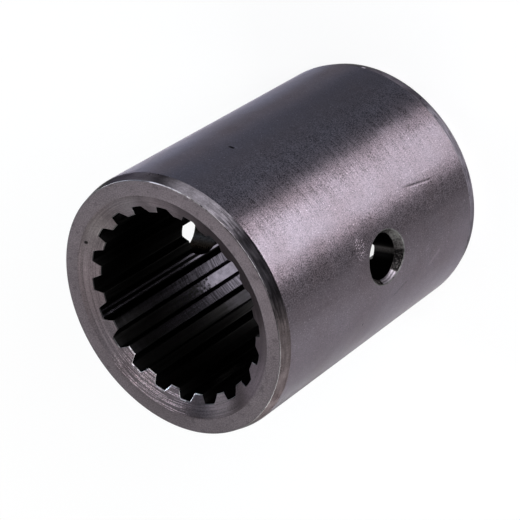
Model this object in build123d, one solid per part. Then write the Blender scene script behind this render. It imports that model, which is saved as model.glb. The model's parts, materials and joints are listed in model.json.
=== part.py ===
from build123d import *
from math import acos, cos, hypot, isclose, pi, radians, sin, tan
import os

# A splined shaft coupling: one steel sleeve, turned outside, broached inside with
# involute teeth, and drilled across for a retaining pin.
# Millimetres and degrees. The sleeve stands on one end, with its axis on +Z and the
# origin at the centre of that end. The pin hole runs along X, countersunk on the +X side.

# Driving dimensions of the internal spline
tooth_count = 20
tooth_module = 1.5875        # pitch diameter per tooth, which is 16 teeth to the inch
pressure_angle = 30.0
tip_height = 0.75            # from the pitch circle in to the tooth tips
root_depth = 0.525           # from the pitch circle out to the bottoms of the spaces
root_corner = 0.12           # radius left by the broach in the corners of each space
spline_turn = -4.4           # the space nearest to the pin hole lies this far round from it

# Driving dimensions of the turned sleeve
sleeve_length = 53.0
wall = 5.1                   # from the bottoms of the tooth spaces to the outside
end_chamfer_length = 2.0     # measured along the sleeve
end_chamfer_angle = 15.0     # measured from the axis
mouth_step = 2.1             # from the bottoms of the tooth spaces to the edge of the mouth
mouth_angle = 63.0           # slope of the lead-in cone, measured from the axis

# Driving dimensions of the pin hole
pin_hole_below_middle = 0.7
pin_hole_diameter = 7.4
countersink_diameter = 9.3   # measured along the sleeve, where it is widest
countersink_angle = 70.0     # between its two sides
far_hole_diameter = 9.1      # in the other wall, which lets the pin pass freely
far_hole_break = 0.1         # bevel on the outer rim of the far hole

# Clearance by which a cutting tool passes the surface where it starts or ends
cutter_overrun = 1.0

# Points on each tooth flank, which is a smooth curve through them
flank_points = 7

# Sizes that follow
pitch_radius = tooth_count * tooth_module / 2
base_radius = pitch_radius * cos(radians(pressure_angle))
tip_radius = pitch_radius - tip_height
root_radius = pitch_radius + root_depth
mouth_radius = root_radius + mouth_step
outer_radius = root_radius + wall
end_chamfer_depth = end_chamfer_length * tan(radians(end_chamfer_angle))
mouth_depth = (mouth_radius - tip_radius) / tan(radians(mouth_angle))
pin_hole_height = sleeve_length / 2 - pin_hole_below_middle
countersink_slope = tan(radians(countersink_angle / 2))
countersink_depth = (countersink_diameter - pin_hole_diameter) / 2 / countersink_slope


def involute(radius):
    """Angle, in radians, that an involute has turned through at this radius."""
    slope = acos(base_radius / radius)
    return tan(slope) - slope


def half_space_angle(radius):
    """Half the angle of one tooth space at this radius.

    At the pitch circle a space is as wide as a tooth. Outwards it narrows, because
    the flanks are the mirror image of those on the shaft's own teeth.
    """
    quarter_tooth = pi / (2 * tooth_count)
    return quarter_tooth + involute(pitch_radius) - involute(radius)


def flank_point(radius, side):
    angle = side * half_space_angle(radius)
    return (radius * cos(angle), radius * sin(angle))


def tooth_space():
    """Section of one space between two teeth, centred on +X."""
    inner_radius = max(base_radius, tip_radius - cutter_overrun)
    step = (root_radius - inner_radius) / (flank_points - 1)
    radii = [inner_radius + step * i for i in range(flank_points)]
    left_points = [flank_point(radius, 1) for radius in radii]
    right_points = [flank_point(radius, -1) for radius in radii]
    left_flank = Spline(left_points)
    right_flank = Spline(right_points)
    root = ThreePointArc(left_points[-1], (root_radius, 0), right_points[-1])
    inner_end = Line(right_points[0], left_points[0])
    space = make_face(Curve() + [left_flank, root, right_flank, inner_end])
    corners = space.vertices().sort_by(Axis.X)[-2:]
    return fillet(corners, root_corner)


def turned_blank():
    """The sleeve before broaching: half its section, turned about the axis."""
    half_section = Polyline(
        (tip_radius, mouth_depth),
        (mouth_radius, 0),
        (outer_radius - end_chamfer_depth, 0),
        (outer_radius, end_chamfer_length),
        (outer_radius, sleeve_length - end_chamfer_length),
        (outer_radius - end_chamfer_depth, sleeve_length),
        (mouth_radius, sleeve_length),
        (tip_radius, sleeve_length - mouth_depth),
        close=True,
    )
    return revolve(Plane.XZ * make_face(half_section), Axis.Z)


def broach():
    """Every tooth space, cut from one end of the bore to the other."""
    ring = PolarLocations(0, tooth_count, start_angle=spline_turn)
    section = Sketch() + [place * tooth_space() for place in ring]
    return extrude(section, sleeve_length)


def stepped_drill():
    """What the pin hole takes away: its half section, turned about the hole's axis."""
    reach = outer_radius + cutter_overrun
    countersink_start = outer_radius - countersink_depth
    widest = countersink_diameter / 2 + cutter_overrun * countersink_slope
    half_section = Polyline(
        (-reach, 0),
        (-reach, far_hole_diameter / 2),
        (0, far_hole_diameter / 2),
        (0, pin_hole_diameter / 2),
        (countersink_start, pin_hole_diameter / 2),
        (reach, widest),
        (reach, 0),
        close=True,
    )
    drill = revolve(Plane.XZ * make_face(half_section), Axis.X)
    return Pos(0, 0, pin_hole_height) * drill


def is_far_rim(edge):
    start = edge @ 0
    return start.X < 0 and isclose(hypot(start.X, start.Y), outer_radius, rel_tol=1e-6)


def drilled_across(sleeve):
    """Both walls drilled for the pin, with the outer rim of the far hole bevelled."""
    drill = stepped_drill()
    drilled = sleeve - drill
    rims = new_edges(sleeve, drill, combined=drilled).filter_by(is_far_rim)
    return chamfer(rims, far_hole_break)


splined_sleeve = drilled_across(turned_blank() - broach())

os.makedirs("parts", exist_ok=True)
export_step(splined_sleeve, "parts/splined_sleeve.step")
print("pitch diameter", round(2 * pitch_radius, 3))
print("outer diameter", round(2 * outer_radius, 3))
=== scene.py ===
import json
from math import acos, atan2, cos, hypot, pi, radians, sin, tan

import bmesh
import bpy
from mathutils import Matrix, Vector


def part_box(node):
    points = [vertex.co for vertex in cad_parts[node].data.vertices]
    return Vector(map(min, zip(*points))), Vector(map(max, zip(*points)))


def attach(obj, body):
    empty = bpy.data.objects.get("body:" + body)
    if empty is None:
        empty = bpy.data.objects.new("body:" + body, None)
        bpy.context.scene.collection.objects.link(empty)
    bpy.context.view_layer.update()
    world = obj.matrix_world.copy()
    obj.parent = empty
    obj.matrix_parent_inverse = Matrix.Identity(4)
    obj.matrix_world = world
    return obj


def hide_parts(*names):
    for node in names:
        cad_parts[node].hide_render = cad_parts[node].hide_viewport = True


# A splined shaft coupling stands on one end, with its axis on +Z. Lengths are in metres.

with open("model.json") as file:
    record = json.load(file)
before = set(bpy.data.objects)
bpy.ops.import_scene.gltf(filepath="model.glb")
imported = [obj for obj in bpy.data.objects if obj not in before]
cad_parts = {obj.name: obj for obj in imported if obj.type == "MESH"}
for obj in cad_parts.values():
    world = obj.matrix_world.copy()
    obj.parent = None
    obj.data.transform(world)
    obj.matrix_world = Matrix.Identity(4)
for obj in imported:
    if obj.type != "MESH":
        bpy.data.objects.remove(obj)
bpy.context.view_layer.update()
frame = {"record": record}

NODE = "splined_sleeve"
mm = 0.001

# Sizes that the frame gives
low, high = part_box(NODE)
length = high.z - low.z
outer_radius = high.x
mounts = {mount["name"]: mount for mount in frame["record"]["mounts"]}
hole_radius = mounts["pin_hole"]["dims"]["r_mm"] * mm
far_hole_radius = mounts["far_hole"]["dims"]["r_mm"] * mm
hole_height = mounts["pin_hole"]["pos_m"][2]

# Sizes of the teeth
tooth_count = 20
tooth_module = 1.5875 * mm
pressure_angle = radians(30)
pitch_radius = tooth_count * tooth_module / 2
base_radius = pitch_radius * cos(pressure_angle)
tip_radius = pitch_radius - 0.75 * mm
root_radius = pitch_radius + 0.525 * mm
space_turn = radians(-4.4)

# Sizes of the turned ends and the countersink
mouth_radius = root_radius + 2.1 * mm
mouth_slope = tan(radians(63))
chamfer_length = 2.0 * mm
chamfer_depth = chamfer_length * tan(radians(15))
countersink_radius = 4.65 * mm
countersink_slope = tan(radians(35))

# Sizes of the fine rounding that the tools left on each edge
tooth_edge = 0.05 * mm
burr_edge = 0.12 * mm
mouth_edge = 0.22 * mm
face_edge = 0.1 * mm
chamfer_edge = 0.5 * mm
hole_edge = 0.1 * mm

# How finely the mesh follows each stretch
flank_steps = 4
arc_steps = 3
bore_rows = 10
cone_rows = 5
face_rows = 3
chamfer_rows = 3
wall_rows = 24
drill_steps = 144

# How far the drill passes the surface
drill_overrun = 3 * mm

# The share of the floor's white that doesn't come from the lamps, close to the sleeve
floor_white = 0.84


def between(start, end, steps):
    """Numbers between two others, without either of them."""
    return [start + (end - start) * i / steps for i in range(1, steps)]


def points_between(start, end, steps):
    start, end = Vector(start), Vector(end)
    return [start.lerp(end, i / steps) for i in range(1, steps)]


def round_corner(before, point, after, size, steps=2):
    """Points of a small curve that takes the place of a sharp corner."""
    point, before, after = Vector(point), Vector(before), Vector(after)
    start = point + (before - point).normalized() * size
    end = point + (after - point).normalized() * size
    curve = []
    for i in range(steps + 1):
        t = i / steps
        curve.append(start * (1 - t) ** 2 + point * 2 * t * (1 - t) + end * t**2)
    return curve


def polar(radius, angle):
    return Vector((radius * cos(angle), radius * sin(angle)))


def involute(radius):
    """Angle that an involute has turned through at this radius."""
    slope = acos(base_radius / radius)
    return tan(slope) - slope


def tooth_half_angle(radius):
    """Half the angle that one tooth fills at this radius. It grows outwards."""
    return pi / (2 * tooth_count) - involute(pitch_radius) + involute(radius)


def half_tooth():
    """Outline from the middle of a tooth to the middle of the next space."""
    tip_angle = tooth_half_angle(tip_radius)
    root_angle = tooth_half_angle(root_radius)
    space_angle = pi / tooth_count
    middle = polar(tip_radius, 0)
    tip_corner = polar(tip_radius, tip_angle)
    root_corner = polar(root_radius, root_angle)
    bottom = polar(root_radius, space_angle)
    flank_radii = between(tip_radius, root_radius, flank_steps)
    flank = [polar(radius, tooth_half_angle(radius)) for radius in flank_radii]
    outline = [middle]
    outline += [polar(tip_radius, angle) for angle in between(0, tip_angle, arc_steps)]
    outline += round_corner(middle, tip_corner, flank[0], tooth_edge)
    outline += flank
    outline += round_corner(flank[-1], root_corner, bottom, tooth_edge)
    outline += [polar(root_radius, angle) for angle in between(root_angle, space_angle, arc_steps)]
    outline.append(bottom)
    return outline


def spline_section():
    """(angle, radius) of every point round the toothed bore."""
    half = [(atan2(p.y, p.x), hypot(p.x, p.y)) for p in half_tooth()]
    other_half = [(-angle, radius) for angle, radius in reversed(half[1:-1])]
    section = []
    for tooth in range(tooth_count):
        middle = space_turn + (tooth + 0.5) * 2 * pi / tooth_count
        section += [(middle + angle, radius) for angle, radius in other_half + half]
    return section


def half_profile(bore_radius):
    """(radius, height, share of the way out) from the middle of the bore to the outside."""
    middle = (bore_radius, length / 2)
    cone_end = (bore_radius, length - (mouth_radius - bore_radius) / mouth_slope)
    mouth = (mouth_radius, length)
    face_corner = (outer_radius - chamfer_depth, length)
    shoulder = (outer_radius, length - chamfer_length)
    outside = (outer_radius, length / 2)
    inner_edge = round_corner(middle, cone_end, mouth, burr_edge)
    mouth_curve = round_corner(cone_end, mouth, face_corner, mouth_edge)
    face_curve = round_corner(mouth, face_corner, shoulder, face_edge, steps=4)
    shoulder_curve = round_corner(face_corner, shoulder, outside, chamfer_edge, steps=4)
    bore = [Vector(middle)] + points_between(middle, inner_edge[0], bore_rows) + inner_edge
    cone = points_between(inner_edge[-1], mouth_curve[0], cone_rows)
    skin = mouth_curve + points_between(mouth_curve[-1], face_curve[0], face_rows) + face_curve
    skin += points_between(face_curve[-1], shoulder_curve[0], chamfer_rows) + shoulder_curve
    skin += points_between(shoulder_curve[-1], outside, wall_rows)
    rows = [(p.x, p.y, 0.0) for p in bore]
    rows += [(p.x, p.y, (i + 1) / cone_rows) for i, p in enumerate(cone)]
    rows += [(p.x, p.y, 1.0) for p in skin]
    return rows, (outside[0], outside[1], 1.0)


def whole_profile(bore_radius):
    upper, outside = half_profile(bore_radius)
    lower = [(radius, length - height, share) for radius, height, share in upper[1:]]
    return upper + [outside] + lower[::-1]


def sleeve_shell(name):
    """The sleeve before it is drilled, as a closed grid of rows and columns.

    The columns follow the teeth in the bore and are evenly spaced outside.
    """
    section = spline_section()
    columns = len(section)
    first = section[0][0]
    points, faces = [], []
    for column, (angle, bore_radius) in enumerate(section):
        even = first + 2 * pi * column / columns
        for radius, height, share in whole_profile(bore_radius):
            turn = angle + (even - angle) * share
            points.append((radius * cos(turn), radius * sin(turn), height))
    rows = len(points) // columns
    for column in range(columns):
        here, there = column * rows, (column + 1) % columns * rows
        for row in range(rows):
            after = (row + 1) % rows
            faces.append((here + row, there + row, there + after, here + after))
    return mesh_object(name, points, faces)


def mesh_object(name, points, faces):
    mesh = bpy.data.meshes.new(name)
    mesh.from_pydata(points, [], faces)
    mesh.update()
    shape = bmesh.new()
    shape.from_mesh(mesh)
    bmesh.ops.recalc_face_normals(shape, faces=shape.faces)
    shape.to_mesh(mesh)
    shape.free()
    piece = bpy.data.objects.new(name, mesh)
    bpy.context.scene.collection.objects.link(piece)
    return piece


def wall_x(across):
    """How far out the outside is at this distance from the middle plane of the pin hole."""
    return (outer_radius**2 - across**2) ** 0.5


def rim_cut(start_x, start_radius, slope, across, rounds=12):
    """Where a straight side of the hole ends in a small bevel, and where the bevel leaves.

    The radius at which the side meets the wall settles within a few rounds.
    """
    radius = start_radius
    for _ in range(rounds):
        radius = start_radius + (wall_x(radius * across) - start_x) * slope
    lean = hypot(1, slope)
    inner = Vector((wall_x(radius * across) - hole_edge / lean, radius - hole_edge * slope / lean))
    outer = Vector((wall_x((radius + hole_edge) * across), radius + hole_edge))
    return inner, outer + (outer - inner) * (drill_overrun / hole_edge)


def drill(name):
    """A cutter for the pin hole: countersunk on the +X side, wider on the other."""
    countersink_x = outer_radius - (countersink_radius - hole_radius) / countersink_slope
    points, faces = [], []
    for step in range(drill_steps):
        turn = 2 * pi * step / drill_steps
        across, up = cos(turn), sin(turn)
        far = rim_cut(0, far_hole_radius, 0, across)
        near = rim_cut(countersink_x, hole_radius, countersink_slope, across)
        section = [(-p.x, p.y) for p in reversed(far)]
        section += [(0, far_hole_radius), (0, hole_radius), (countersink_x, hole_radius)]
        section += [(p.x, p.y) for p in near]
        for x, radius in section:
            points.append((x, radius * across, hole_height + radius * up))
    rows = len(section)
    for step in range(drill_steps):
        here, there = rows * step, rows * ((step + 1) % drill_steps)
        for row in range(rows - 1):
            faces.append((here + row, there + row, there + row + 1, here + row + 1))
    faces.append([rows * step for step in range(drill_steps)])
    faces.append([rows * step + rows - 1 for step in reversed(range(drill_steps))])
    return mesh_object(name, points, faces)


def cut_away(piece, cutter):
    cut = piece.modifiers.new("cut", "BOOLEAN")
    cut.operation = "DIFFERENCE"
    cut.solver = "EXACT"
    cut.object = cutter
    graph = bpy.context.evaluated_depsgraph_get()
    mesh = bpy.data.meshes.new_from_object(piece.evaluated_get(graph))
    piece.modifiers.clear()
    piece.data = mesh
    bpy.data.objects.remove(cutter)


# Zones of the sleeve, in the order of its material slots
TURNED, CHAMFER, EDGE, FACED, MOUTH, BURR, BROACHED, DRILLED, RIM = range(9)

# How far a face has to point outwards, towards an end, or into the pin hole for its zone
turned_outward = 0.995
chamfer_outward = 0.1
edge_endward = 0.35
faced_endward = 0.96
mouth_endward = 0.8
burr_endward = 0.15
hole_inward = 0.3
rim_sideward = 0.65


def in_pin_hole(centre, normal):
    """True for a face of the hole's own sides and rims."""
    from_axis = Vector((0, centre.y, centre.z - hole_height))
    near = centre.x > 0
    limit = (countersink_radius if near else far_hole_radius) + 3 * hole_edge
    if hypot(centre.x, centre.y) < root_radius:
        limit = (hole_radius if near else far_hole_radius) + 0.02 * mm
    return from_axis.length < limit and from_axis.normalized().dot(normal) < -hole_inward


def zone_of(centre, normal):
    outward = Vector((centre.x, centre.y, 0)).normalized().dot(normal)
    endward = abs(normal.z)
    if in_pin_hole(centre, normal):
        return RIM if abs(normal.x) > rim_sideward else DRILLED
    if outward > turned_outward:
        return TURNED
    if outward > chamfer_outward:
        return EDGE if endward > edge_endward else CHAMFER
    if endward > faced_endward:
        return FACED
    if endward > mouth_endward:
        return MOUTH
    return BURR if endward > burr_endward else BROACHED


def make_sleeve():
    sleeve = sleeve_shell("sleeve")
    cut_away(sleeve, drill("drill"))
    mesh = sleeve.data
    mesh.name = "sleeve"
    mesh.shade_smooth()
    mesh.set_sharp_from_angle(angle=radians(28))
    mesh.materials.clear()
    for finish in (turned, chamfered, edge_with_painted_glint, faced, mouth_cone, burred,
                   broached, drilled, worn_rim):
        mesh.materials.append(finish())
    for face in mesh.polygons:
        face.material_index = zone_of(face.center, face.normal)
    return sleeve


class Nodes:
    """Short names for the nodes of one material or of the world."""

    def __init__(self, tree):
        self.tree = tree

    def node(self, kind, **settings):
        made = self.tree.nodes.new(kind)
        for key, value in settings.items():
            setattr(made, key, value)
        return made

    def link(self, value, socket):
        if isinstance(value, bpy.types.NodeSocket):
            self.tree.links.new(value, socket)
        else:
            socket.default_value = value

    def math(self, operation, a, b=0.0):
        made = self.node("ShaderNodeMath", operation=operation)
        self.link(a, made.inputs[0])
        self.link(b, made.inputs[1])
        return made.outputs[0]

    def add(self, *values):
        total = values[0]
        for value in values[1:]:
            total = self.math("ADD", total, value)
        return total

    def scaled(self, *values):
        product = values[0]
        for value in values[1:]:
            product = self.math("MULTIPLY", product, value)
        return product

    def less(self, value, share):
        """A value with a share of it taken away."""
        return self.scaled(value, self.math("SUBTRACT", 1, share))

    def vector(self, operation, a, b=(0, 0, 0)):
        made = self.node("ShaderNodeVectorMath", operation=operation)
        self.link(a, made.inputs[0])
        self.link(b, made.inputs[1])
        return made.outputs["Value" if operation in ("LENGTH", "DISTANCE") else "Vector"]

    def combine(self, x, y, z):
        made = self.node("ShaderNodeCombineXYZ")
        for value, socket in zip((x, y, z), made.inputs):
            self.link(value, socket)
        return made.outputs[0]

    def noise(self, coordinates, detail=2, offset=0):
        """Noise round 0.5. The offset gives another noise at the same place."""
        if offset:
            coordinates = self.vector("ADD", coordinates, (offset, offset, offset))
        made = self.node("ShaderNodeTexNoise")
        self.link(coordinates, made.inputs["Vector"])
        made.inputs["Scale"].default_value = 1
        made.inputs["Detail"].default_value = detail
        return made.outputs[0]

    def spread(self, value, start, end, to_start, to_end, smooth=False):
        """The value's range from start to end, turned into another range."""
        made = self.node("ShaderNodeMapRange")
        if smooth:
            made.interpolation_type = "SMOOTHSTEP"
        for key, number in zip(("Value", "From Min", "From Max", "To Min", "To Max"),
                               (value, start, end, to_start, to_end)):
            self.link(number, made.inputs[key])
        return made.outputs[0]

    def vary(self, noise, to_start, to_end, reach=0.15):
        """A noise turned into a range, filled by what lies within reach of its middle."""
        return self.spread(noise, 0.5 - reach, 0.5 + reach, to_start, to_end)

    def mix(self, share, first, second, blend_type="MIX"):
        """A colour between two others."""
        made = self.node("ShaderNodeMix", data_type="RGBA", blend_type=blend_type)
        self.link(share, made.inputs[0])
        self.link(first, made.inputs[6])
        self.link(second, made.inputs[7])
        return made.outputs[2]

    def blend(self, share, first, second):
        """A number between two others."""
        made = self.node("ShaderNodeMix", data_type="FLOAT")
        self.link(share, made.inputs[0])
        self.link(first, made.inputs[2])
        self.link(second, made.inputs[3])
        return made.outputs[0]

    def seen(self):
        """1 for what the camera sees directly or by way of metal or glass."""
        rays = self.node("ShaderNodeLightPath").outputs
        direct = self.math("MAXIMUM", rays["Is Camera Ray"], rays["Is Glossy Ray"])
        return self.math("MAXIMUM", direct, rays["Is Transmission Ray"])


class Finish(Nodes):
    """One finish, made of nodes that read the place on the object."""

    def __init__(self, name, metallic=1.0, anisotropic=0.0):
        self.material = bpy.data.materials.new(name)
        self.material.use_nodes = True
        super().__init__(self.material.node_tree)
        self.shader = self.tree.nodes["Principled BSDF"]
        self.shader.inputs["Metallic"].default_value = metallic
        if anisotropic:
            self.turned_grain(anisotropic)
        self.place = self.node("ShaderNodeTexCoord").outputs["Object"]
        apart = self.node("ShaderNodeSeparateXYZ")
        self.link(self.place, apart.inputs[0])
        self.x, self.y, self.z = apart.outputs
        self.radius = self.vector("LENGTH", self.combine(self.x, self.y, 0))

    def turned_grain(self, strength):
        """Grain too fine to see, which runs round the axis and draws light out across itself."""
        self.shader.inputs["Anisotropic"].default_value = strength
        self.shader.inputs["Anisotropic Rotation"].default_value = 0.25
        tangent = self.node("ShaderNodeTangent", direction_type="RADIAL", axis="Z")
        self.link(tangent.outputs[0], self.shader.inputs["Tangent"])

    def ringwise(self, round_size, cross_size):
        """Coordinates for marks that run round the axis."""
        along = self.add(self.radius, self.z)
        return self.combine(
            self.scaled(self.x, 1 / round_size),
            self.scaled(self.y, 1 / round_size),
            self.scaled(along, 1 / cross_size),
        )

    def lengthwise(self, long_size, cross_size):
        """Coordinates for marks that run along the axis."""
        return self.combine(
            self.scaled(self.x, 1 / cross_size),
            self.scaled(self.y, 1 / cross_size),
            self.scaled(self.z, 1 / long_size),
        )

    def even(self, size):
        """Coordinates for marks that are as long as they are wide."""
        return self.lengthwise(size, size)

    def round_from(self, azimuth):
        """Degrees round the axis from this azimuth, never more than 180."""
        turn = self.scaled(self.math("ARCTAN2", self.y, self.x), 180 / pi)
        apart = self.node("ShaderNodeMath", operation="WRAP")
        self.link(self.math("SUBTRACT", turn, azimuth), apart.inputs[0])
        apart.inputs[1].default_value = 180
        apart.inputs[2].default_value = -180
        return apart.outputs[0]

    def sector(self, azimuth, half_width, soft):
        """1 within a sector round the axis, fading to 0 beyond it. All are degrees."""
        apart = self.math("ABSOLUTE", self.round_from(azimuth))
        return self.spread(apart, half_width, half_width + soft, 1, 0, smooth=True)

    def within(self, azimuth, half_width, soft, amount):
        """An amount within a sector, fading to 0 beyond it."""
        return self.scaled(self.sector(azimuth, half_width, soft), amount)

    def upper_half(self):
        """1 above the middle of the sleeve and 0 below it."""
        return self.spread(self.z, 0.4 * length, 0.6 * length, 0, 1)

    def up_the_wall(self, to_start, to_end):
        """A value that changes from low on the wall to high on it."""
        return self.spread(self.z, 14 * mm, 40 * mm, to_start, to_end)

    def mark(self, azimuth, height, half_length, half_width, tilt=0):
        """1 on a small mark on the outside. The tilt is in degrees from the way round."""
        aside = self.scaled(self.round_from(azimuth), pi / 180 * outer_radius)
        up = self.math("SUBTRACT", self.z, height)
        run, rise = cos(radians(tilt)), sin(radians(tilt))
        along = self.math("ABSOLUTE", self.add(self.scaled(aside, run), self.scaled(up, rise)))
        across = self.math("ABSOLUTE", self.add(self.scaled(up, run), self.scaled(aside, -rise)))
        return self.scaled(self.spread(along, half_length * 0.7, half_length, 1, 0),
                           self.spread(across, half_width * 0.5, half_width, 1, 0))

    def spot(self, azimuth, radius, height, size):
        """1 within a small distance of a point on the sleeve."""
        turn = radians(azimuth)
        point = (radius * cos(turn), radius * sin(turn), height)
        return self.spread(self.vector("DISTANCE", self.place, point), 0.6 * size, size, 1, 0)

    def paint(self, colour, level):
        """Base colour: a colour, made darker or lighter by a level."""
        self.link(self.mix(1.0, colour, level, "MULTIPLY"), self.shader.inputs["Base Color"])

    def roughness(self, value):
        self.link(value, self.shader.inputs["Roughness"])

    def edge_tint(self, value):
        """How much of the glare at grazing angles is left."""
        self.shader.inputs["Specular Tint"].default_value = rgb(value, value, value)

    def relief(self, *heights):
        """Bump from the sum of some heights, in metres."""
        bump = self.node("ShaderNodeBump")
        bump.inputs["Strength"].default_value = 1
        bump.inputs["Distance"].default_value = 1
        self.link(self.add(*heights), bump.inputs["Height"])
        self.link(bump.outputs[0], self.shader.inputs["Normal"])


def rgb(red, green, blue):
    return (red, green, blue, 1)


def wall_marks(steel):
    """The marks on the wall: where they are cut in, how dark and how bright they are."""
    scratch = steel.mark(20.4, 13.7 * mm, 3.7 * mm, 0.16 * mm, 80)
    scratch_lip = steel.mark(19.5, 13.7 * mm, 3.2 * mm, 0.14 * mm, 80)
    nick = steel.mark(78, 38 * mm, 0.6 * mm, 0.3 * mm)
    nick_lip = steel.mark(76.6, 37.6 * mm, 0.4 * mm, 0.14 * mm)
    pit = steel.mark(-25.0, 31.7 * mm, 0.25 * mm, 0.22 * mm)
    light_cut = steel.mark(23.1, 11 * mm, 1.3 * mm, 0.14 * mm, 85)
    streak = steel.mark(-15.6, 12.6 * mm, 2 * mm, 0.4 * mm, -61)
    rub = steel.mark(-19.4, 22 * mm, 2.4 * mm, 0.3 * mm, -74)
    dusty = steel.mark(10.5, 31.6 * mm, 1.9 * mm, 1.3 * mm)
    specks = steel.noise(steel.even(0.22 * mm), detail=1, offset=5)
    glints = steel.spread(specks, 0.68, 0.76, 0, 1.2)
    dust = steel.scaled(steel.spread(specks, 0.56, 0.62, 0, 3.4), dusty)
    cut_in = steel.add(scratch, nick, pit)
    dark = steel.add(steel.scaled(scratch, 0.5), steel.scaled(nick, 0.95),
                     steel.scaled(pit, 0.8), steel.scaled(rub, 0.25))
    bright = steel.add(steel.scaled(scratch_lip, 0.6), steel.scaled(nick_lip, 0.6),
                       steel.scaled(streak, 0.3), steel.scaled(light_cut, 0.35), glints, dust)
    return cut_in, steel.math("MINIMUM", dark, 1), bright


def turned():
    """The outside: fine marks of turning round the axis, so light is spread out along it, with
    painted glints, painted shade and a painted cool reflection in some sectors round it.
    """
    steel = Finish("turned_steel", anisotropic=1.0)
    lines = steel.noise(steel.ringwise(4 * mm, 0.18 * mm), detail=1)
    grain = steel.noise(steel.even(0.2 * mm), detail=1)
    blotches = steel.noise(steel.even(1.1 * mm))
    patches = steel.noise(steel.even(7 * mm), detail=3)
    waves = steel.noise(steel.even(6 * mm), detail=1, offset=8)
    cut_in, dark, bright = wall_marks(steel)
    steel.relief(steel.scaled(lines, 0.003 * mm), steel.scaled(grain, 0.008 * mm),
                 steel.scaled(waves, 0.13 * mm), steel.scaled(cut_in, -0.06 * mm))

    # Painted glints: the grain and the tool lines show stronger in the colour within a few sectors,
    # where the highlight's edges lie.
    painted_line_glint_contrast = steel.add(steel.within(44, 6, 12, 0.07), 0.03)
    texture = steel.add(steel.vary(grain, -0.2, 0.2), steel.scaled(steel.vary(lines, -1, 1), painted_line_glint_contrast),
                        steel.vary(blotches, -0.04, 0.04))
    painted_glint_contrast = steel.add(steel.within(53, 5, 17, 1.5), steel.within(14, 3, 9, 1.7),
                       steel.within(30, 8, 8, 0.3), 0.85)
    level = steel.add(1, steel.scaled(texture, painted_glint_contrast), bright)
    level = steel.less(steel.math("MAXIMUM", level, 0.2), dark)

    # Painted shade along the wall: darker in sectors round -54, -38 and 66 degrees, more so high on
    # the wall at -54 and low on it at 66, and a little lighter low on the wall at -54 and -38.
    painted_light_and_shade_left = steel.add(steel.within(-54, 5, 8, steel.up_the_wall(-0.03, 0.2)),
                          steel.within(-38, 12, 12, steel.up_the_wall(-0.08, 0.08)))
    painted_shade_right = steel.within(66, 11, 12, steel.up_the_wall(0.37, 0.26))
    level = steel.less(steel.less(level, painted_light_and_shade_left), painted_shade_right)

    base = steel.mix(steel.vary(patches, 0, 1, 0.2),
                     rgb(0.105, 0.088, 0.101), rgb(0.116, 0.101, 0.118))
    # Painted reflection: a bluish cast round 68 degrees, as of a cool light mirrored in the wall.
    painted_cool_reflection = steel.mix(steel.sector(68, 9, 16), rgb(1, 1, 1), rgb(0.97, 1.08, 1.2))
    steel.paint(steel.mix(1.0, base, painted_cool_reflection, "MULTIPLY"), level)
    steel.roughness(steel.vary(patches, 0.36, 0.4, 0.2))
    steel.edge_tint(0.55)
    return steel.material


def chamfered():
    """The bevels: dark, with painted highlights that make some sides bright."""
    steel = Finish("chamfered_steel")
    lines = steel.noise(steel.ringwise(2.5 * mm, 0.18 * mm))
    grain = steel.noise(steel.even(0.25 * mm))
    patches = steel.noise(steel.even(1.8 * mm), detail=3)
    chip = steel.mark(80.7, 1.7 * mm, 0.4 * mm, 0.3 * mm)
    steel.relief(steel.scaled(lines, 0.002 * mm), steel.scaled(grain, 0.006 * mm))
    # Painted highlights and shade: the bevels' brightness is set sector by sector round the axis,
    # above and below the middle, with a bright chip below.
    above = steel.add(steel.within(-46, 6, 11, 0.16), steel.within(-34, 12, 12, 0.05),
                      steel.within(-20, 16, 20, 0.07), steel.within(63, 6, 18, 0.19),
                      steel.within(101, 8, 12, 0.09), 0.0075)
    below = steel.add(steel.within(12, 26, 18, 0.17), steel.within(70, 6, 12, 0.1),
                      steel.within(0, 100, 10, 0.08), steel.scaled(chip, 0.6), 0.004)
    streaks = steel.blend(steel.sector(28, 20, 12), steel.vary(lines, 0.85, 1.15, 0.14),
                          steel.vary(lines, 0.5, 1.5, 0.12))
    level = steel.scaled(steel.blend(steel.upper_half(), below, above), streaks,
                         steel.vary(patches, 0.8, 1.2, 0.2), steel.vary(grain, 0.85, 1.15))
    warm = steel.scaled(steel.sector(-30, 30, 20), steel.upper_half())
    steel.paint(steel.mix(warm, rgb(1.04, 0.96, 1.1), rgb(1.12, 0.93, 0.96)), level)
    steel.roughness(steel.vary(patches, 0.26, 0.34, 0.2))
    steel.edge_tint(0.25)
    return steel.material


def edge_with_painted_glint():
    """The corner between the end face and the bevel, worn bright and painted with a glint over an
    eighth of a turn, and painted dark where the key lamp would glint.
    """
    steel = Finish("worn_edge_steel")
    nicks = steel.noise(steel.even(1.2 * mm))
    # Painted glint: the edge is bright round 78 and 60 degrees, broken up by noise and worn
    # notches.
    worn_and_painted_glint = steel.add(steel.sector(78, 8, 6), steel.within(60, 10, 4, 0.35), 0.04)
    bright = steel.scaled(worn_and_painted_glint, steel.spread(nicks, 0.4, 0.5, 0.3, 1.0), steel.upper_half(), 0.8)
    # Painted shade: the edge is darker round 28 degrees, so that no glint shows there.
    plain = steel.blend(steel.sector(28, 24, 14), 0.1, 0.008)
    notches = steel.add(steel.spot(60.7, 21.05 * mm, 52.8 * mm, 0.35 * mm),
                        steel.spot(47, 21.05 * mm, 52.6 * mm, 0.35 * mm))
    level = steel.less(steel.add(bright, plain), steel.scaled(notches, 0.9))
    steel.paint(rgb(1.0, 0.93, 0.96), level)
    steel.roughness(0.3)
    steel.edge_tint(0.3)
    return steel.material


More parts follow.
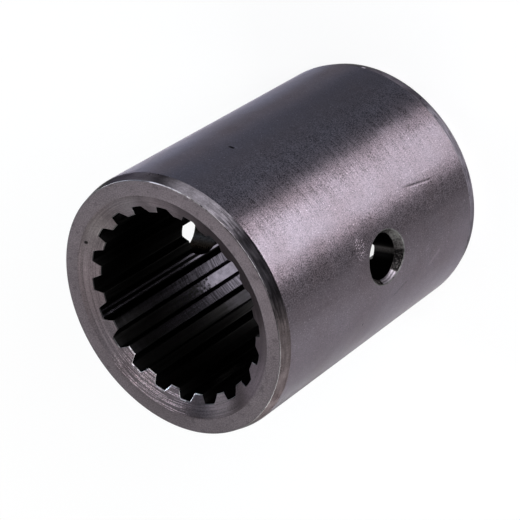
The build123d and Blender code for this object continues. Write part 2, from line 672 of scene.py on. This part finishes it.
def faced():
    """The flat end faces."""
    steel = Finish("faced_steel", anisotropic=0.5)
    lines = steel.noise(steel.ringwise(5 * mm, 0.14 * mm), detail=3)
    grain = steel.noise(steel.even(0.22 * mm), detail=1)
    patches = steel.noise(steel.even(3.5 * mm), detail=3)
    stains = steel.noise(steel.even(1.1 * mm), detail=4, offset=3)
    steel.relief(steel.scaled(lines, 0.0015 * mm), steel.scaled(grain, 0.0015 * mm))
    # Painted light and shade: the end face is lighter round 45 degrees and darker round -92.
    painted_light_and_shade = steel.add(1, steel.within(45, 22, 50, 0.36), steel.within(-92, 12, 30, -0.16))
    level = steel.scaled(painted_light_and_shade, steel.vary(grain, 0.8, 1.2), steel.vary(lines, 0.94, 1.06),
                         steel.spread(stains, 0.3, 0.42, 0.72, 1.0))
    base = steel.mix(steel.vary(patches, 0, 1, 0.2),
                     rgb(0.136, 0.114, 0.124), rgb(0.162, 0.136, 0.148))
    steel.paint(base, level)
    steel.roughness(steel.vary(lines, 0.42, 0.5, 0.2))
    return steel.material


def mouth_cone():
    """The lead-in cones, with rings that the tool tore, painted bright as highlight streaks on one
    side.
    """
    steel = Finish("mouth_steel", anisotropic=0.8)
    lines = steel.noise(steel.ringwise(12 * mm, 0.2 * mm), detail=3)
    rings = steel.noise(steel.ringwise(6 * mm, 0.2 * mm), detail=1, offset=2)
    grain = steel.noise(steel.even(0.22 * mm), detail=1)
    patches = steel.noise(steel.even(3 * mm), detail=3)
    # Torn rings, painted bright as a highlight round 243 degrees.
    torn_rings_with_painted_highlight = steel.scaled(steel.spread(rings, 0.53, 0.6, 0, 1), steel.sector(243, 20, 10),
                        steel.vary(grain, 0.4, 1.6, 0.1))
    nick = steel.spot(150.3, 17.75 * mm, 52.6 * mm, 0.4 * mm)
    steel.relief(steel.scaled(lines, 0.025 * mm), steel.scaled(torn_rings_with_painted_highlight, 0.01 * mm))
    # Painted light and shade: the cone is lighter round 178, -113 and 84 degrees and darker round
    # -68, -26 and 31.
    painted_light_and_shade = steel.add(1, steel.within(178, 12, 20, 0.6), steel.within(-113, 10, 12, 1.05),
                       steel.within(-68, 14, 12, -0.34), steel.within(-26, 12, 14, -0.1),
                       steel.within(31, 21, 19, -0.5), steel.within(84, 5, 8, 0.55))
    level = steel.add(steel.vary(lines, 0.78, 1.22), steel.vary(grain, -0.17, 0.17),
                      steel.scaled(torn_rings_with_painted_highlight, 1.8))
    level = steel.scaled(steel.less(level, steel.scaled(nick, 0.9)), painted_light_and_shade)
    base = steel.mix(steel.vary(patches, 0, 1, 0.2),
                     rgb(0.116, 0.0955, 0.102), rgb(0.138, 0.1135, 0.121))
    steel.paint(base, level)
    steel.roughness(steel.vary(lines, 0.34, 0.42, 0.2))
    steel.edge_tint(0.42)
    return steel.material


def burred():
    """The edges of the teeth in the lead-in cones, with a painted glint along the burrs round 246
    degrees.
    """
    steel = Finish("burred_steel")
    nicks = steel.noise(steel.even(0.7 * mm))
    # Painted glint on the burred tooth edges within one sector.
    painted_burr_glint = steel.scaled(steel.sector(246, 24, 10), steel.spread(nicks, 0.4, 0.5, 0.2, 1), 0.95)
    steel.paint(rgb(1.0, 0.96, 1.0), steel.add(painted_burr_glint, 0.04))
    steel.roughness(0.35)
    steel.edge_tint(0.4)
    return steel.material


def broached():
    """The toothed bore: dark, with painted light on space bottoms and lands along one side."""
    steel = Finish("broached_steel")
    strokes = steel.noise(steel.lengthwise(10 * mm, 0.25 * mm))
    chatter = steel.noise(steel.ringwise(4 * mm, 0.22 * mm), detail=1)
    patches = steel.noise(steel.even(1.1 * mm), detail=3)
    mottle = steel.noise(steel.even(0.45 * mm), offset=4)
    land = steel.spread(steel.radius, tip_radius + 0.1 * mm, tip_radius + 0.25 * mm, 1, 0)
    bottom = steel.spread(steel.radius, root_radius - 0.25 * mm, root_radius - 0.1 * mm, 0, 1)
    steel.relief(steel.scaled(strokes, 0.0015 * mm), steel.scaled(patches, 0.004 * mm))

    # Painted light: deep in the bore, space bottoms and lands round 212 degrees are lit bright and
    # tinted lavender, with two thin lines near 194 and a dim bottom at 230.
    ragged_z = steel.add(steel.z, steel.vary(patches, -2.5 * mm, 2.5 * mm, 0.2))
    mottled = steel.scaled(steel.spread(mottle, 0.42, 0.6, 0.02, 0.55),
                           steel.spread(steel.z, 28 * mm, 42 * mm, 1, 0))
    shine = steel.blend(steel.spread(ragged_z, 29 * mm, 30 * mm, 1, 0), mottled, 1)
    dim_shine = steel.spread(ragged_z, 28 * mm, 29 * mm, 0.04, 0.015)
    painted_groove_lines = steel.add(steel.within(192.3, 0.4, 0.3, 0.3), steel.within(195.4, 0.4, 0.3, 0.3))
    painted_light_on_bottoms = steel.add(steel.within(211.6, 5, 3, steel.scaled(shine, 0.3)), painted_groove_lines,
                            steel.within(229.6, 5, 3, dim_shine))
    painted_light_on_lands = steel.scaled(steel.within(211.6, 11, 12, steel.vary(chatter, 0.08, 0.28)),
                             steel.spread(steel.z, 26 * mm, 46 * mm, 1, 0.12))
    painted_light = steel.add(steel.scaled(painted_light_on_bottoms, bottom), steel.scaled(painted_light_on_lands, land))
    painted_light = steel.scaled(painted_light, steel.vary(patches, 0.75, 1.25, 0.2))

    plain = steel.scaled(steel.vary(strokes, 0.02, 0.048),
                         steel.blend(steel.sector(194, 6, 3), 1, 0.15))
    painted_lit_share = steel.spread(painted_light, 0.01, 0.06, 0, 1)
    tint = steel.mix(painted_lit_share, rgb(1.0, 0.97, 0.97), rgb(1.0, 0.92, 1.12))
    steel.paint(tint, steel.add(painted_light, plain))
    lit_part_roughness = steel.add(steel.vary(strokes, 0.12, 0.18, 0.2), steel.scaled(land, 0.08))
    steel.roughness(steel.blend(painted_lit_share, 0.24, lit_part_roughness))
    steel.edge_tint(0.5)
    return steel.material


def drilled():
    """The pin hole: black inside, with a countersink painted bright and dark in places as light and
    shade.
    """
    steel = Finish("drilled_steel")
    down = steel.math("SUBTRACT", hole_height, steel.z)
    left = steel.scaled(steel.y, -1)
    from_axis = steel.vector("LENGTH", steel.combine(down, left, 0))
    around = steel.scaled(steel.math("ARCTAN2", left, down), 180 / pi)

    def part_turn(start, end, soft=2):
        """1 between two angles round the hole, from its lowest line towards -Y."""
        return steel.scaled(steel.spread(around, start - soft, start + soft, 0, 1),
                            steel.spread(around, end - soft, end + soft, 1, 0))

    specks = steel.noise(steel.even(0.25 * mm))
    wander = steel.noise(steel.even(1.5 * mm), detail=1)
    ring_pitch = 0.26 * mm
    rings = steel.math("SINE", steel.add(steel.scaled(from_axis, 2 * pi / ring_pitch),
                                         steel.scaled(wander, 2)))
    steel.relief(steel.scaled(specks, 0.002 * mm))

    near_side = steel.spread(steel.x, 0, 1 * mm, 0, 1)
    beyond_bore = steel.spread(from_axis, hole_radius + 0.01 * mm, hole_radius + 0.05 * mm, 0, 1)
    countersink = steel.scaled(beyond_bore, near_side)
    # Painted light and shade round the countersink: brightest, with rings, from 56 to 105 degrees
    # round the hole, lighter from -90 to 6 and from 112 to 150, and darkest elsewhere.
    painted_light_part = part_turn(56, 105)
    bright = steel.scaled(steel.spread(rings, -0.8, 0.8, 0.07, 0.17), steel.vary(specks, 0.8, 1.2))
    cut = steel.blend(part_turn(-90, 6), steel.spread(specks, 0.5, 0.68, 0.003, 0.03),
                      steel.vary(specks, 0.02, 0.055))
    cut = steel.blend(painted_light_part, cut, bright)
    cut = steel.blend(part_turn(112, 150), cut, steel.vary(specks, 0.01, 0.08, 0.1))
    near_bore = steel.add(steel.scaled(part_turn(3, 18), steel.vary(specks, 0.02, 0.04)), 0.01)
    far_bore = steel.vary(specks, 0.006, 0.02)
    inside = steel.blend(near_side, far_bore, near_bore)

    tint = steel.mix(painted_light_part, rgb(1.05, 0.97, 0.96), rgb(1.05, 0.95, 1.08))
    tint = steel.mix(near_side, rgb(1.12, 0.97, 0.86), tint)
    steel.paint(tint, steel.blend(countersink, inside, cut))
    steel.roughness(steel.blend(countersink, 0.3, 0.5))
    steel.edge_tint(0.2)
    return steel.material


def worn_rim():
    """The small bevel round the mouths of the pin hole."""
    steel = Finish("worn_rim_steel")
    specks = steel.noise(steel.even(0.6 * mm))
    steel.paint(rgb(1.0, 0.99, 0.98), steel.vary(specks, 0.04, 0.11))
    steel.roughness(0.4)
    return steel.material


def make_floor():
    """A pale floor that takes the shadow. Eyes and metal see it white."""
    bpy.ops.mesh.primitive_plane_add(size=8)
    floor = bpy.context.object
    floor.name = "floor"
    pale = Finish("floor", metallic=0.0)
    pale.shader.inputs["Base Color"].default_value = rgb(0.86, 0.86, 0.86)
    pale.shader.inputs["Roughness"].default_value = 1
    pale.shader.inputs["Specular IOR Level"].default_value = 0
    white = pale.node("ShaderNodeEmission")
    whiter = pale.spread(pale.radius, 40 * mm, 160 * mm, floor_white, 1)
    share = pale.node("ShaderNodeMixShader")
    pale.link(pale.scaled(pale.seen(), whiter), share.inputs[0])
    pale.link(pale.shader.outputs[0], share.inputs[1])
    pale.link(white.outputs[0], share.inputs[2])
    pale.link(share.outputs[0], pale.tree.nodes["Material Output"].inputs["Surface"])
    floor.data.materials.append(pale.material)


def make_world():
    """Faint light from all round. Eyes and metal see white just above the floor's edge."""
    world = bpy.data.worlds.new("world")
    world.use_nodes = True
    bpy.context.scene.world = world
    sky = Nodes(world.node_tree)
    direction = sky.node("ShaderNodeTexCoord").outputs["Generated"]
    apart = sky.node("ShaderNodeSeparateXYZ")
    sky.link(direction, apart.inputs[0])
    low_band = sky.spread(apart.outputs[2], 0.13, 0.18, 1, 0)
    background = world.node_tree.nodes["Background"]
    background.inputs["Color"].default_value = rgb(1, 1, 1)
    sky.link(sky.blend(sky.scaled(sky.seen(), low_band), 0.1, 1), background.inputs["Strength"])


def make_camera():
    """The camera sees the sleeve as the photograph does, turned about its line of sight."""
    place = Vector((184.08, 115.99, 237.71)) * mm
    aim = Vector((-1.47, -2.36, 29.15)) * mm
    roll = radians(-123.07)
    data = bpy.data.cameras.new("camera")
    data.sensor_width = 36
    data.lens = 130.8
    data.clip_start = 0.01
    camera = bpy.data.objects.new("camera", data)
    bpy.context.scene.collection.objects.link(camera)
    turn = (aim - place).to_track_quat("-Z", "Y").to_matrix() @ Matrix.Rotation(roll, 3, "Z")
    camera.matrix_world = Matrix.Translation(place) @ turn.to_4x4()
    bpy.context.scene.camera = camera


def softbox(name, azimuth, elevation, width, height, radiance, colour=(1, 1, 1)):
    """A panel that faces the sleeve. Its width and height are angles, seen from the sleeve."""
    distance = 1.4
    azimuth, elevation = radians(azimuth), radians(elevation)
    away = Vector((cos(elevation) * cos(azimuth), cos(elevation) * sin(azimuth), sin(elevation)))
    data = bpy.data.lights.new(name, "AREA")
    data.shape = "RECTANGLE"
    data.size = 2 * distance * tan(radians(width) / 2)
    data.size_y = 2 * distance * tan(radians(height) / 2)
    data.energy = radiance * pi * data.size * data.size_y
    data.color = colour
    lamp = bpy.data.objects.new(name, data)
    bpy.context.scene.collection.objects.link(lamp)
    turn = (-away).to_track_quat("-Z", "Y").to_matrix().to_4x4()
    lamp.matrix_world = Matrix.Translation(away * distance + Vector((0, 0, length / 2))) @ turn
    lamp.visible_camera = False


def side_panel(name, azimuth, width, radiance, colour=(1, 1, 1)):
    """A softbox a little above the sleeve's height, which lights its wall."""
    softbox(name, azimuth, 10, width, 18, radiance, colour)


def make_lamps():
    """Panels all round, which the wall mirrors as bands, and a few above for the end face."""
    side_panel("key", 32, 48, 25, (1, 0.94, 0.96))
    side_panel("key_core", 30, 28, 22, (0.88, 0.96, 1))
    side_panel("right_fill", 120, 32, 0.9, (0.4, 0.6, 1))
    side_panel("right_side", 144, 16, 8, (0.56, 0.74, 1))
    side_panel("right_rim", 160, 16, 22, (0.85, 0.94, 1))
    side_panel("right_back", 192, 16, 1.6, (0.78, 0.82, 1))
    side_panel("left_rim", 240, 16, 3.5, (0.85, 0.98, 1))
    side_panel("left_back", 256, 16, 2.3)
    side_panel("left_side", 272, 16, 17.6, (0.9, 1, 0.93))
    side_panel("left_core", 288, 16, 11, (0.94, 1, 1))
    side_panel("left", 312, 32, 7.6, (0.96, 0.99, 1))
    side_panel("left_end", 336, 16, 3.1)
    softbox("back", 212, 44, 34, 30, 1.15)
    softbox("back_low", 208, 16, 40, 24, 0.5, (0.8, 0.9, 1))
    softbox("left_top", 300, 62, 50, 24, 0.68)
    softbox("right_top", 116, 60, 44, 12, 0.8, (0.8, 0.9, 1))
    softbox("top", 32, 86, 24, 24, 0.5, (0.6, 0.9, 1))


sleeve = make_sleeve()
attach(sleeve, "root")
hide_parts(NODE)
make_floor()
make_world()
make_camera()
make_lamps()

bpy.context.scene.view_settings.view_transform = "Standard"
